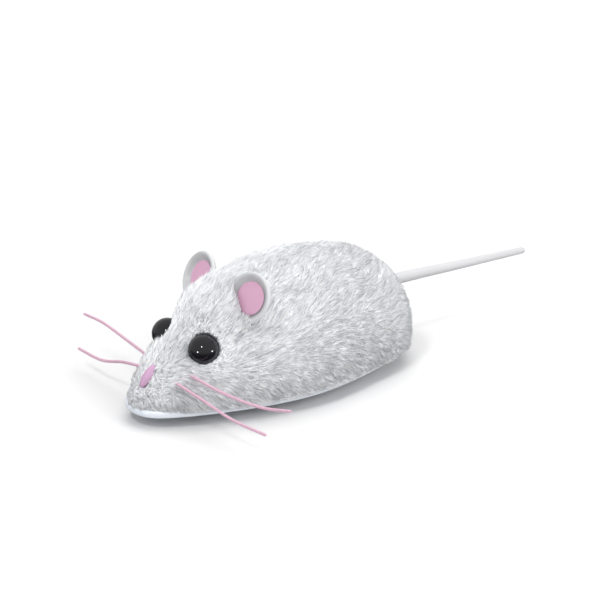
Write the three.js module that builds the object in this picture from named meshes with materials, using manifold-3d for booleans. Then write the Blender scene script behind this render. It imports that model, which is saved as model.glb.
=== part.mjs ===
// Wind-up plush mouse: a furry cover over a moulded shell, on a plastic base plate that carries a
// spring-driven wheel movement. Millimetres, +Z up, nose towards -Y, the mouse's left side at +X.
// The sizes below are measured from the floor under the wheels and from the drive line of the body;
// the whole model is then moved so that its origin is at the bottom centre of its bounding box.

import * as THREE from 'three';
import { mergeVertices } from 'three/addons/utils/BufferGeometryUtils.js';
import Module from 'manifold-3d';

const wasm = await Module();
wasm.setup();

// ---- Driving dimensions -------------------------------------------------------------------------

const GAP = 0.3; // clearance between touching pieces
const ROUND = 20; // sides of an ordinary round piece

// Body sections along its length: y, half width, ridge height, roundness exponent, height of the
// widest line. The first and last rows close the nose and the rump.
const BODY_SECTIONS = [
  [-42.4, 0, 6, 2, 6],
  [-41.6, 3.4, 8.2, 2, 6],
  [-39.8, 5.4, 10.3, 1.6, 6],
  [-36.4, 8.6, 13.8, 1.45, 6.5],
  [-30.4, 12.8, 20.3, 1.4, 7.5],
  [-25, 15, 25.8, 1.4, 8.5],
  [-20, 16.9, 30.4, 1.5, 9],
  [-15, 18.7, 33.3, 1.5, 9.5],
  [-8, 20.8, 35.3, 1.55, 10],
  [0, 21.8, 35.8, 1.65, 10],
  [10, 21.3, 35.6, 1.8, 10],
  [20, 20.2, 34, 1.9, 10],
  [30, 18.6, 31.3, 2, 10],
  [36, 16.4, 27.8, 2.1, 10],
  [41, 11.4, 21.2, 2.1, 10],
  [44.4, 0, 10, 2, 10],
];
const BELLY_DEPTH = 26; // how far the section would reach below its widest line if it weren't cut
const SPINE_Y = [-36, 33]; // ends of the inner line that the skins shrink towards
const PELT_OUTER = 0.6; // depth below the tips of the pile
const PELT_INNER = 2.6;
const SHELL_OUTER = 3.1;
const SHELL_INNER = 4.1;

// Base plate: a half outline as x, y from nose to rump
const PLATE_OUTLINE = [
  [4.8, -41.2],
  [8.8, -36.4],
  [14.9, -23.8],
  [19.4, -10],
  [21.2, 1],
  [20.4, 14],
  [17.1, 29],
  [12.8, 37.8],
  [6.5, 41.4],
];
const PLATE_ENDS = [-42.2, 42.6];
const PLATE_BOTTOM = 3;
const PLATE_TOP = 5;
const PLATE_EDGE_ROUND = 0.6;

// Movement: the arbors run along x, and each place is y, z
const BARREL_AT = [13.5, 17.5];
const MIDDLE_AT = [1, 17.5];
const DRIVE_AT = [-5.78, 7];
const REAR_AT = [28, 5];
const GEAR_MODULE = 0.625;
const WHEEL_TEETH = 32;
const PINION_LEAVES = 8;
const FRAME_INNER_X = 7;
const FRAME_SHEET = 0.8;
const FOOT_TIP_X = 11.2;
const ARBOR_RADIUS = 1.25;
const PIN_RADIUS = 0.75;
const AXLE_RADIUS = 1;
const RUNNING_CLEARANCE = 0.2;

const DRIVE_WHEEL_RADIUS = 7;
const DRIVE_WHEEL_X = [9.8, 13.2];
const REAR_WHEEL_RADIUS = 5;
const REAR_WHEEL_X = [8.8, 11.2];
const REAR_AXLE_RADIUS = 0.8;

const RATCHET_TEETH = 12;
const RATCHET_X = [-9.6, -8.6];
const CLICK_PIVOT = [6, 4.9]; // y, z from the barrel arbor
const CLICK_RIVET_RADIUS = 0.7;

// Fixings: x, y of one side
const SHELL_SCREWS = [
  [6.2, -27],
  [7, 36],
];
const FRAME_SCREWS = [
  [9.5, -17],
  [9.5, 14.5],
];
const SCREW_RADIUS = 0.65;

// Face
const EYE_AT = [7.4, -25, 18.3];
const EYE_OUTWARD = [0.7, -0.5, 0.42];
const EYE_RADIUS = 4;
const EYE_STEM_RADIUS = 0.9;
const SOCKET_WALL = 1.1;
const EAR_AT = [10, -11.8, 29.7];
const EAR_YAW = 9.6;
const EAR_TILT = 24;
const EAR_ROLL = 3.2;
const EAR_RADIUS = 6.8;
const NOSE_AT = [0, -37.1, 12.1];
const NOSE_SLOPE = 46.8; // degrees below the horizontal, towards the tip
const NOSE_HALF = [1.5, 3.4, 1.4]; // across, along, proud

const WHISKER_RADIUS = 0.43;
const WHISKERS = {
  left_upper: [[4.6, -31.2, 13.2], [9, -30.6, 13.3], [20, -29, 11.7], [32, -27.2, 11.4], [42.4, -25.7, 13.2]],
  left_lower: [[4.6, -34.1, 12], [8, -33.7, 11.4], [16, -32.9, 9.9], [27, -31.8, 7.6], [38.6, -30.6, 7]],
  right_upper: [[-4.6, -31.2, 13.2], [-9, -30.6, 13.3], [-20, -29, 13.8], [-32, -27.2, 14.2], [-42.4, -25.7, 13.2]],
  right_lower: [[-4.6, -34.1, 12], [-8, -33.7, 11.4], [-16, -32.9, 9.7], [-27, -31.8, 6.5], [-38.6, -30.6, 5.8]],
};

const TAIL_LINE = [[0, 34.6, 16.7], [0, 41, 17], [0, 48.6, 17.3], [2, 70.9, 16.6], [7, 88.5, 17.7]];
const TAIL_ROOT_RADIUS = 1.8;
const TAIL_TIP_RADIUS = 0.93;

const KEY_X = [-31.4, -20.8];
const ORIGIN_Y = 23.28; // middle of the bounding box along the body

// ---- Solids and their joins ---------------------------------------------------------------------

function asSolid(geometry) {
  const bare = geometry.clone();
  bare.deleteAttribute('normal');
  bare.deleteAttribute('uv');
  const merged = mergeVertices(bare, 1e-4);
  return new wasm.Manifold(
    new wasm.Mesh({
      numProp: 3,
      vertProperties: new Float32Array(merged.attributes.position.array),
      triVerts: new Uint32Array(merged.index.array),
    }),
  );
}

function asGeometry(solid) {
  const mesh = solid.getMesh();
  const geometry = new THREE.BufferGeometry();
  geometry.setAttribute('position', new THREE.BufferAttribute(new Float32Array(mesh.vertProperties), 3));
  geometry.setIndex(new THREE.BufferAttribute(new Uint32Array(mesh.triVerts), 1));
  return geometry;
}

function join(...pieces) {
  return asGeometry(pieces.map(asSolid).reduce((all, next) => all.add(next)));
}

function cut(piece, ...tools) {
  return asGeometry(tools.map(asSolid).reduce((left, tool) => left.subtract(tool), asSolid(piece)));
}

function common(a, b) {
  return asGeometry(asSolid(a).intersect(asSolid(b)));
}

// ---- Plain shapes -------------------------------------------------------------------------------

function block([x0, x1], [y0, y1], [z0, z1]) {
  const box = new THREE.BoxGeometry(x1 - x0, y1 - y0, z1 - z0);
  return box.translate((x0 + x1) / 2, (y0 + y1) / 2, (z0 + z1) / 2);
}

function rodX(radius, [x0, x1], [y, z], sides = ROUND) {
  const rod = new THREE.CylinderGeometry(radius, radius, x1 - x0, sides);
  return rod.rotateZ(-Math.PI / 2).translate((x0 + x1) / 2, y, z);
}

function rodZ(radius, [x, y], [z0, z1], sides = 16) {
  const rod = new THREE.CylinderGeometry(radius, radius, z1 - z0, sides);
  return rod.rotateX(Math.PI / 2).translate(x, y, (z0 + z1) / 2);
}

// A piece turned about the x axis, from a closed profile of [x, radius] points.
function turnedX(profile, [y, z], sides = ROUND) {
  const points = profile.map(([x, radius]) => new THREE.Vector2(radius, x));
  return new THREE.LatheGeometry(points, sides).rotateZ(-Math.PI / 2).translate(0, y, z);
}

// A flat outline of [y, z] points, as thick as the x span.
function plateX(outline, [x0, x1], [y, z] = [0, 0]) {
  const shape = new THREE.Shape(outline.map(([a, b]) => new THREE.Vector2(a, b)));
  const plate = new THREE.ExtrudeGeometry(shape, { depth: x1 - x0, bevelEnabled: false });
  const turn = new THREE.Matrix4().makeBasis(
    new THREE.Vector3(0, 1, 0),
    new THREE.Vector3(0, 0, 1),
    new THREE.Vector3(1, 0, 0),
  );
  return plate.applyMatrix4(turn).translate(x0, y, z);
}

function polar(radius, angle) {
  return [radius * Math.cos(angle), radius * Math.sin(angle)];
}

function wire(points, radius, steps, sides = 8) {
  const path = new THREE.CatmullRomCurve3(points.map((p) => new THREE.Vector3(...p)));
  const corners = Array.from({ length: sides }, (_, i) => polar(radius, (2 * Math.PI * i) / sides));
  const section = new THREE.Shape(corners.map(([a, b]) => new THREE.Vector2(a, b)));
  return new THREE.ExtrudeGeometry(section, { steps, extrudePath: path });
}

// ---- Body skins ---------------------------------------------------------------------------------

const sectionAt = new THREE.CubicInterpolant(
  new Float32Array(BODY_SECTIONS.map(([y]) => y)),
  new Float32Array(
    BODY_SECTIONS.flatMap(([, width, ridge, roundness, widest]) => [
      width ** 2,
      (ridge - widest) ** 2,
      roundness,
      widest,
    ]),
  ),
  4,
  new Float32Array(4),
);

// A closed skin at a depth below the tips of the pile. It starts as a sphere whose poles are the
// nose and the rump, and each ring takes the section of the body at its place.
function bodySkin(depth, around, along) {
  const skin = new THREE.SphereGeometry(1, around, along);
  const position = skin.attributes.position;
  const [noseY, rumpY] = [BODY_SECTIONS[0][0], BODY_SECTIONS.at(-1)[0]];
  for (let i = 0; i < position.count; i++) {
    const y = THREE.MathUtils.lerp(noseY, rumpY, (position.getY(i) + 1) / 2);
    const [widthSquared, heightSquared, roundness, widest] = sectionAt.evaluate(y);
    const angle = Math.atan2(position.getZ(i), position.getX(i));
    const pole = Math.abs(position.getY(i)) > 0.99999;
    const side = pole ? 0 : Math.sign(Math.cos(angle)) * Math.abs(Math.cos(angle)) ** (2 / roundness);
    const rise = pole ? 0 : Math.abs(Math.sin(angle)) ** (2 / roundness);
    const reach = angle > 0 ? Math.sqrt(Math.max(heightSquared, 0)) : -BELLY_DEPTH;
    const point = new THREE.Vector3(Math.sqrt(Math.max(widthSquared, 0)) * side, y, widest + reach * rise);
    const spine = new THREE.Vector3(0, THREE.MathUtils.clamp(y, ...SPINE_Y), widest);
    const inward = spine.sub(point).normalize().multiplyScalar(depth);
    position.setXYZ(i, ...point.add(inward));
  }
  return skin;
}

const aboveHem = block([-60, 60], [-60, 60], [PLATE_TOP + GAP, 60]);

function bodyLayer(outer, inner, around, along) {
  const wall = cut(bodySkin(outer, around, along), bodySkin(inner, around, along));
  return common(wall, aboveHem);
}

// ---- Pieces that pass through the cover ---------------------------------------------------------

function earPlace(side) {
  const turn = new THREE.Euler(
    THREE.MathUtils.degToRad(-EAR_TILT),
    THREE.MathUtils.degToRad(EAR_ROLL * side),
    THREE.MathUtils.degToRad(EAR_YAW * side),
    'ZXY',
  );
  const place = new THREE.Matrix4().makeRotationFromEuler(turn);
  return place.setPosition(EAR_AT[0] * side, EAR_AT[1], EAR_AT[2]);
}

function disc(profile, sides = 24) {
  return new THREE.LatheGeometry(profile.map(([radius, y]) => new THREE.Vector2(radius, y)), sides);
}

const EAR_PROFILE = [
  [0, 0.3],
  [4.7, 0.3],
  [5.7, -1],
  [6.3, -1.2],
  [6.7, -1],
  [EAR_RADIUS, -0.4],
  [6.2, 0.5],
  [4.6, 1.3],
  [0, 1.5],
];
const EAR_TAB = [[-1.8, 1.8], [0.1, 1.1], [-11, -5.5]];

function ear(side) {
  return join(disc(EAR_PROFILE), block(...EAR_TAB)).applyMatrix4(earPlace(side));
}

function earOpening(side) {
  const reach = EAR_RADIUS + GAP;
  const dish = disc([[0, -1.5], [reach, -1.5], [reach, 1.1], [0, 1.8]], 16);
  const slot = block(...EAR_TAB.map(([low, high]) => [low - GAP, high + GAP]));
  return join(dish, slot).applyMatrix4(earPlace(side));
}

function earLining(side) {
  const lens = disc([[0, -0.3], [4.2, -0.25], [4.4, -0.1], [4.3, 0.04], [0, 0.04]]);
  return lens.applyMatrix4(earPlace(side));
}

function eyeStem(side, radius, from, to) {
  const outward = new THREE.Vector3(EYE_OUTWARD[0] * side, EYE_OUTWARD[1], EYE_OUTWARD[2]).normalize();
  const stem = new THREE.CylinderGeometry(radius, radius, to - from, 10).translate(0, (from + to) / 2, 0);
  const turn = new THREE.Quaternion().setFromUnitVectors(new THREE.Vector3(0, -1, 0), outward);
  return stem.applyQuaternion(turn).translate(EYE_AT[0] * side, EYE_AT[1], EYE_AT[2]);
}

function eyeBall(side, radius, around = 14) {
  return new THREE.SphereGeometry(radius, around, around * 0.6).translate(EYE_AT[0] * side, EYE_AT[1], EYE_AT[2]);
}

function noseBar(clearance) {
  const [across, along, proud] = NOSE_HALF;
  const bar = new THREE.SphereGeometry(1, 14, 10);
  bar.scale(across + clearance, along + clearance, proud + clearance);
  const stem = rodZ(0.9 + clearance, [0, 0], [-4.5, 0], 12);
  return join(bar, stem).rotateX(THREE.MathUtils.degToRad(NOSE_SLOPE)).translate(...NOSE_AT);
}

function whisker(name, radius = WHISKER_RADIUS) {
  return wire(WHISKERS[name], radius, 9, 6);
}

function tail() {
  const path = new THREE.CatmullRomCurve3(TAIL_LINE.map((p) => new THREE.Vector3(...p)));
  const rings = 12;
  const frames = path.computeFrenetFrames(rings);
  const length = path.getLength();
  const rod = new THREE.CylinderGeometry(TAIL_TIP_RADIUS, TAIL_ROOT_RADIUS, length, 12, rings);
  const position = rod.attributes.position;
  for (let i = 0; i < position.count; i++) {
    const along = THREE.MathUtils.clamp(position.getY(i) / length + 0.5, 0, 1);
    const ring = Math.round(along * rings);
    const point = path.getPointAt(along);
    point.addScaledVector(frames.binormals[ring], position.getX(i));
    point.addScaledVector(frames.normals[ring], position.getZ(i));
    position.setXYZ(i, ...point);
  }
  const [rootX, rootY, rootZ] = TAIL_LINE[0];
  const flange = new THREE.CylinderGeometry(2.8, 2.8, 1, 20).translate(rootX, rootY + 0.5, rootZ);
  return join(rod, flange);
}

const tailOpening = new THREE.CylinderGeometry(TAIL_ROOT_RADIUS + GAP, TAIL_ROOT_RADIUS + GAP, 12, 20)
  .translate(0, 41, 17);
const keyOpening = rodX(2.1, [-30, -10], BARREL_AT);

function openings(radiusOfEyeHole) {
  const sides = [1, -1];
  const holes = sides.flatMap((side) => [earOpening(side), eyeBall(side, radiusOfEyeHole)]);
  const whiskerHoles = Object.keys(WHISKERS).map((name) => whisker(name, WHISKER_RADIUS + GAP));
  return [...holes, ...whiskerHoles, noseBar(GAP), tailOpening, keyOpening];
}

// ---- Cover, shell and base ----------------------------------------------------------------------

function furCover() {
  return cut(bodyLayer(PELT_OUTER, PELT_INNER, 28, 24), ...openings(EYE_RADIUS + GAP));
}

function bodyShell() {
  const [around, along] = [20, 16];
  const bosses = [1, -1].flatMap((side) => [
    eyeBall(side, EYE_RADIUS + GAP + SOCKET_WALL),
    ...SHELL_SCREWS.map(([x, y]) => rodZ(2, [x * side, y], [PLATE_TOP + GAP, 40])),
  ]);
  const filled = common(join(...bosses), bodySkin(SHELL_OUTER + 0.1, around, along));
  const wall = join(bodyLayer(SHELL_OUTER, SHELL_INNER, around, along), common(filled, aboveHem));
  const drilled = [1, -1].flatMap((side) => [
    eyeStem(side, EYE_STEM_RADIUS + GAP, 0, 9),
    ...SHELL_SCREWS.map(([x, y]) => rodZ(SCREW_RADIUS + GAP, [x * side, y], [0, 12], 12)),
  ]);
  return cut(wall, ...openings(EYE_RADIUS + GAP), ...drilled);
}

function plateBlank() {
  const right = PLATE_OUTLINE.map(([x, y]) => new THREE.Vector3(x, y, 0));
  const left = PLATE_OUTLINE.toReversed().map(([x, y]) => new THREE.Vector3(-x, y, 0));
  const [front, rear] = PLATE_ENDS.map((y) => new THREE.Vector3(0, y, 0));
  const outline = new THREE.CatmullRomCurve3([front, ...right, rear, ...left], true).getSpacedPoints(56);
  const shape = new THREE.Shape(outline.slice(0, -1).map((p) => new THREE.Vector2(p.x, p.y)));
  const blank = new THREE.ExtrudeGeometry(shape, {
    depth: PLATE_TOP - PLATE_BOTTOM - 2 * PLATE_EDGE_ROUND,
    bevelThickness: PLATE_EDGE_ROUND,
    bevelSize: PLATE_EDGE_ROUND,
    bevelOffset: -PLATE_EDGE_ROUND,
    bevelSegments: 2,
  });
  return blank.translate(0, 0, PLATE_BOTTOM + PLATE_EDGE_ROUND);
}

function wheelSlot(side, [near, far], radius, [y, z]) {
  const play = 0.5;
  const half = Math.sqrt(radius ** 2 - (z - PLATE_TOP) ** 2) + play;
  const xs = [near - play, far + play].map((x) => x * side);
  return block([Math.min(...xs), Math.max(...xs)], [y - half, y + half], [0, PLATE_TOP + 1]);
}

function basePlate() {
  const [axleY, axleZ] = REAR_AT;
  const bearings = [1, -1].map((side) => {
    const xs = [5.6 * side, 8.2 * side];
    return block([Math.min(...xs), Math.max(...xs)], [axleY - 2.4, axleY + 2.4], [PLATE_TOP - 1, 7.8]);
  });
  const axleBed = rodX(REAR_AXLE_RADIUS + RUNNING_CLEARANCE, [-12.4, 12.4], REAR_AT, 12);
  const axleMouth = block([-12.4, 12.4], [axleY - 0.7, axleY + 0.7], [0, axleZ]);
  const sideCuts = [1, -1].flatMap((side) => [
    wheelSlot(side, DRIVE_WHEEL_X, DRIVE_WHEEL_RADIUS, DRIVE_AT),
    wheelSlot(side, REAR_WHEEL_X, REAR_WHEEL_RADIUS, REAR_AT),
    ...SHELL_SCREWS.flatMap(([x, y]) => [
      rodZ(SCREW_RADIUS + GAP, [x * side, y], [0, 6], 12),
      rodZ(2.1, [x * side, y], [0, 4.3]),
    ]),
    ...FRAME_SCREWS.map(([x, y]) => rodZ(SCREW_RADIUS + GAP, [x * side, y], [3.5, 6], 12)),
  ]);
  const pinionRelief = block([1.8, 6.8], [DRIVE_AT[0] - 3.5, DRIVE_AT[0] + 3.5], [0, PLATE_TOP + 1]);
  return cut(join(plateBlank(), ...bearings), axleBed, axleMouth, pinionRelief, ...sideCuts);
}

// A countersunk or pan screw: a head and a shank along z, with a cross slot in the outer face.
function screw([x, y], headZ, headRadius, shankZ, slotFromBelow) {
  const headTop = slotFromBelow ? headZ[0] : headZ[1];
  const slotZ = [headTop - 0.4, headTop + 0.4];
  const blank = join(rodZ(headRadius, [x, y], headZ, 14), rodZ(SCREW_RADIUS, [x, y], shankZ, 8));
  const slots = [
    block([x - 1.1, x + 1.1], [y - 0.2, y + 0.2], slotZ),
    block([x - 0.2, x + 0.2], [y - 1.1, y + 1.1], slotZ),
  ];
  return cut(blank, ...slots);
}

// ---- Spring movement ----------------------------------------------------------------------------

// Teeth as four points each: root, tip, tip, root. The shares are half angles of the tooth pitch.
function gearOutline(teeth, rootShare, tipShare, firstTooth) {
  const pitchRadius = (GEAR_MODULE * teeth) / 2;
  const rootRadius = pitchRadius - GEAR_MODULE;
  const tipRadius = pitchRadius + 0.75 * GEAR_MODULE;
  const pitch = (2 * Math.PI) / teeth;
  return Array.from({ length: teeth }, (_, i) => firstTooth + i * pitch).flatMap((angle) => [
    polar(rootRadius, angle - rootShare * pitch),
    polar(tipRadius, angle - tipShare * pitch),
    polar(tipRadius, angle + tipShare * pitch),
    polar(rootRadius, angle + rootShare * pitch),
  ]);
}

function wheelOutline(firstTooth) {
  return gearOutline(WHEEL_TEETH, 0.29, 0.11, firstTooth);
}

function pinionOutline(firstTooth) {
  return gearOutline(PINION_LEAVES, 0.24, 0.1, firstTooth);
}

const towardsMiddle = Math.PI;
const towardsDrive = Math.atan2(DRIVE_AT[1] - MIDDLE_AT[1], DRIVE_AT[0] - MIDDLE_AT[0]);
const halfLeaf = Math.PI / PINION_LEAVES;

const FRAME_OUTLINE = [
  [-19.5, 5.3],
  [24.8, 5.3],
  [24.8, 14],
  [21.4, 24.6],
  [-6, 25],
  [-15, 20.8],
  [-19.5, 12],
];
const PILLARS = { front: [-14, 17.2], middle: [7.25, 7.2], rear: [22.4, 8.2] };
const SPRING_LUG_AT = [6.5, 22];

function framePlate(side) {
  const span = [FRAME_INNER_X * side, (FRAME_INNER_X + FRAME_SHEET) * side].toSorted((a, b) => a - b);
  const footSpan = [(FRAME_INNER_X + 0.2) * side, FOOT_TIP_X * side].toSorted((a, b) => a - b);
  const feet = FRAME_SCREWS.map(([, y]) =>
    block(footSpan, [y - 2.3, y + 2.3], [PLATE_TOP + GAP, PLATE_TOP + GAP + FRAME_SHEET]),
  );
  const bore = (radius, place) => rodX(radius + RUNNING_CLEARANCE, [-20, 20], place, 12);
  const sideHoles = side > 0 ? [] : [
    bore(CLICK_RIVET_RADIUS, [BARREL_AT[0] + CLICK_PIVOT[0], BARREL_AT[1] + CLICK_PIVOT[1]]),
    bore(0.35, SPRING_LUG_AT),
  ];
  return cut(
    join(plateX(FRAME_OUTLINE, span), ...feet),
    bore(ARBOR_RADIUS, BARREL_AT),
    bore(PIN_RADIUS, MIDDLE_AT),
    bore(AXLE_RADIUS, DRIVE_AT),
    ...Object.values(PILLARS).map((place) => bore(0.7, place)),
    ...FRAME_SCREWS.map(([x, y]) => rodZ(SCREW_RADIUS + GAP, [x * side, y], [4, 8], 12)),
    ...sideHoles,
  );
}

function pillar(place) {
  const shoulder = FRAME_INNER_X - 0.2;
  const end = FRAME_INNER_X + FRAME_SHEET + 0.3;
  const profile = [[-end, 0], [-end, 0.7], [-shoulder, 0.7], [-shoulder, 1.3]];
  return turnedX([...profile, [shoulder, 1.3], [shoulder, 0.7], [end, 0.7], [end, 0]], place, 10);
}

const ARBOR_PROFILE = [
  [-25.6, 0],
  [-25.6, ARBOR_RADIUS],
  [-6.7, ARBOR_RADIUS],
  [-6.7, 2.2],
  [-6, 2.2],
  [-6, ARBOR_RADIUS],
  [4.6, ARBOR_RADIUS],
  [4.6, 1.8],
  [6.7, 1.8],
  [6.7, ARBOR_RADIUS],
  [9, ARBOR_RADIUS],
  [9, 0],
];

function windingKey() {
  const [y, z] = BARREL_AT;
  const [tipX, mouthX] = KEY_X;
  const lobes = [1, -1].map((side) => rodZ(3.4, [tipX + 3.4, y + 4.5 * side], [z - 0.6, z + 0.6], 20));
  const eyes = [1, -1].map((side) => rodZ(1.6, [tipX + 3.4, y + 4.7 * side], [z - 2, z + 2], 12));
  const web = block([tipX + 1.2, mouthX - 4.6], [y - 4, y + 4], [z - 0.6, z + 0.6]);
  const barrel = rodX(2.3, [mouthX - 5.6, mouthX], BARREL_AT);
  const bore = rodX(ARBOR_RADIUS + GAP, [mouthX - 5.1, mouthX + 1], BARREL_AT);
  return cut(join(...lobes, web, barrel), ...eyes, bore);
}

function ratchetWheel() {
  const pitch = (2 * Math.PI) / RATCHET_TEETH;
  const teeth = Array.from({ length: RATCHET_TEETH }, (_, i) => i * pitch);
  const outline = teeth.flatMap((angle) => [polar(3.3, angle), polar(4.2, angle + 0.02)]);
  return cut(plateX(outline, RATCHET_X, BARREL_AT), rodX(ARBOR_RADIUS + GAP, [-20, 0], BARREL_AT));
}

// The click rests in the notch above the arbor, with its end against the steep face of a tooth.
function click() {
  const [pivotY, pivotZ] = CLICK_PIVOT;
  const place = [BARREL_AT[0] + pivotY, BARREL_AT[1] + pivotZ];
  const arm = [[0.3, 3.78], [2.1, 4.1], [pivotY - 0.5, pivotZ - 1.4], [pivotY, pivotZ + 1.4], [0.3, 5.1]];
  const hub = rodX(1.6, RATCHET_X, place);
  return cut(join(plateX(arm, RATCHET_X, BARREL_AT), hub), rodX(CLICK_RIVET_RADIUS + GAP, [-20, 0], place));
}

function clickRivet() {
  const place = [BARREL_AT[0] + CLICK_PIVOT[0], BARREL_AT[1] + CLICK_PIVOT[1]];
  const profile = [[-10.6, 0], [-10.6, 1.1], [-9.9, 1.4], [-9.9, CLICK_RIVET_RADIUS]];
  return turnedX([...profile, [-6.6, CLICK_RIVET_RADIUS], [-6.6, 0]], place, 16);
}

function clickSpring() {
  const [lugY, lugZ] = SPRING_LUG_AT;
  const bend = [[-7.2, lugY, lugZ], [-8.5, lugY, lugZ], [-9.1, lugY + 0.8, lugZ + 0.6]];
  return wire([...bend, [-9.1, 10, 23.5], [-9.1, 12.5, 23.6], [-9.1, 15.6, 23.3]], 0.25, 16, 6);
}

// A flat strip wound outwards from the arbor to the barrel wall.
function mainspring() {
  const turns = 5;
  const strip = 0.35;
  const [inner, outer] = [1.7, 8];
  const points = Math.round(turns * 14);
  const spiral = (offset) =>
    Array.from({ length: points + 1 }, (_, i) =>
      polar(inner + offset + ((outer - inner - strip) * i) / points, (2 * Math.PI * turns * i) / points),
    );
  return plateX([...spiral(strip), ...spiral(0).toReversed()], [-5.2, -0.5], BARREL_AT);
}

function springBarrel() {
  const rim = turnedX([[-5.6, 8.4], [-5.6, 9], [0.2, 9], [0.2, 8.4], [-5.6, 8.4]], BARREL_AT, 32);
  const hub = rodX(1.9, [0.5, 2.7], BARREL_AT);
  const wheel = plateX(wheelOutline(towardsMiddle), [0, 1.2], BARREL_AT);
  return cut(join(wheel, rim, hub), rodX(ARBOR_RADIUS + RUNNING_CLEARANCE, [-20, 20], BARREL_AT));
}

function middleGear() {
  const wheel = plateX(wheelOutline(towardsDrive), [3, 4], MIDDLE_AT);
  const leaves = plateX(pinionOutline(halfLeaf), [-0.4, 3.2], MIDDLE_AT);
  const hub = rodX(1.8, [-6.6, 6.6], MIDDLE_AT);
  return cut(join(wheel, leaves, hub), rodX(PIN_RADIUS + RUNNING_CLEARANCE, [-20, 20], MIDDLE_AT));
}

function drivePinion() {
  const leaves = plateX(pinionOutline(towardsDrive + Math.PI + halfLeaf), [2.2, 4.8], DRIVE_AT);
  const collar = rodX(1.9, [4.6, 6.4], DRIVE_AT);
  return cut(join(leaves, collar), rodX(AXLE_RADIUS + GAP, [-20, 20], DRIVE_AT));
}

// ---- Wheels -------------------------------------------------------------------------------------

function wheel(side, [near, far], bore, rim, dish, place) {
  const profile = [
    [near, bore],
    [near, rim],
    [far, rim],
    [far, rim - 0.9],
    [far - dish, rim - 1],
    [far - dish, bore + 1.2],
    [far, bore + 1.2],
    [far, bore],
    [near, bore],
  ];
  const ring = turnedX(profile, place);
  return side > 0 ? ring : ring.rotateZ(Math.PI).translate(0, 2 * place[0], 0);
}

function tyre(side) {
  const [near, far] = DRIVE_WHEEL_X;
  const [inner, outer] = [5.9, DRIVE_WHEEL_RADIUS];
  const shoulder = outer - 0.4;
  const profile = [[near, inner], [near, shoulder], [near + 0.5, outer], [far - 0.5, outer]];
  const ring = turnedX([...profile, [far, shoulder], [far, inner], [near, inner]], DRIVE_AT, 24);
  return side > 0 ? ring : ring.rotateZ(Math.PI).translate(0, 2 * DRIVE_AT[0], 0);
}

// ---- Assembly -----------------------------------------------------------------------------------

function finish(color, roughness, metalness = 0) {
  return new THREE.MeshStandardMaterial({ color, roughness, metalness });
}

const plush = finish('#d6d8dd', 1);
const whitePlastic = finish('#e9ecef', 0.35);
const basePlastic = finish('#ccd3de', 0.4);
const shellPlastic = finish('#dcdcd8', 0.55);
const pinkPlastic = finish('#e3a9cb', 0.5);
const blackBead = finish('#0c0c0e', 0.08);
const pinkCord = finish('#e0a3bf', 0.7);
const steel = finish('#b9bcc0', 0.35, 1);
const springSteel = finish('#6f7886', 0.3, 1);
const brass = finish('#c8a45a', 0.35, 1);
const nylon = finish('#e4e0d2', 0.5);
const rubber = finish('#2b2b2d', 0.85);

const mouse = new THREE.Group();

function add(name, geometry, material) {
  const mesh = new THREE.Mesh(geometry, material);
  mesh.name = name;
  mouse.add(mesh);
}

add('base_plate', basePlate(), basePlastic);
add('body_shell', bodyShell(), shellPlastic);
add('fur_cover', furCover(), plush);

for (const [word, side] of [['left', 1], ['right', -1]]) {
  add(`ear_${word}`, ear(side), whitePlastic);
  add(`ear_lining_${word}`, earLining(side), pinkPlastic);
  const stem = eyeStem(side, EYE_STEM_RADIUS, 0, 8);
  add(`eye_${word}`, join(eyeBall(side, EYE_RADIUS, 16), stem), blackBead);
  const washer = cut(eyeStem(side, 2.1, 5.8, 6.4), eyeStem(side, EYE_STEM_RADIUS + 0.15, 5, 7));
  add(`eye_washer_${word}`, washer, steel);
  add(`frame_plate_${word}`, framePlate(side), steel);
  const drive = wheel(side, DRIVE_WHEEL_X, AXLE_RADIUS + GAP, 5.6, 1.4, DRIVE_AT);
  add(`drive_wheel_${word}`, drive, nylon);
  add(`drive_tyre_${word}`, tyre(side), rubber);
  const rear = wheel(side, REAR_WHEEL_X, REAR_AXLE_RADIUS + GAP, REAR_WHEEL_RADIUS, 0.9, REAR_AT);
  add(`rear_wheel_${word}`, rear, nylon);
  for (const [end, place] of [['front', 0], ['rear', 1]]) {
    const [x, y] = SHELL_SCREWS[place];
    add(`shell_screw_${end}_${word}`, screw([x * side, y], [3.1, 4], 1.8, [3.9, 11], true), steel);
    const [footX, footY] = FRAME_SCREWS[place];
    add(`frame_screw_${end}_${word}`, screw([footX * side, footY], [6.4, 7.4], 1.6, [3.8, 6.5], false), steel);
  }
}

add('nose', noseBar(0), pinkPlastic);
for (const name of Object.keys(WHISKERS)) {
  add(`whisker_${name}`, whisker(name), pinkCord);
}
add('tail', tail(), whitePlastic);

for (const [name, place] of Object.entries(PILLARS)) {
  add(`frame_pillar_${name}`, pillar(place), brass);
}
add('mainspring', mainspring(), springSteel);
add('winding_arbor', turnedX(ARBOR_PROFILE, BARREL_AT, 14), steel);
add('winding_key', windingKey(), steel);
add('ratchet_wheel', ratchetWheel(), steel);
add('click', click(), steel);
add('click_rivet', clickRivet(), brass);
add('click_spring', clickSpring(), springSteel);
add('spring_barrel', springBarrel(), brass);
add('middle_gear', middleGear(), nylon);
add('middle_pin', rodX(PIN_RADIUS, [-8.2, 8.2], MIDDLE_AT, 16), steel);
add('drive_pinion', drivePinion(), brass);
add('drive_axle', rodX(AXLE_RADIUS, [-14.2, 14.2], DRIVE_AT, 12), steel);
add('rear_axle', rodX(REAR_AXLE_RADIUS, [-12, 12], REAR_AT, 12), steel);

mouse.position.set(0, -ORIGIN_Y, 0);

export default mouse;
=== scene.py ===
import math

import bmesh
import bpy
import numpy as np
from mathutils import Matrix, Vector, noise
from mathutils.bvhtree import BVHTree
from mathutils.kdtree import KDTree


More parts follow.
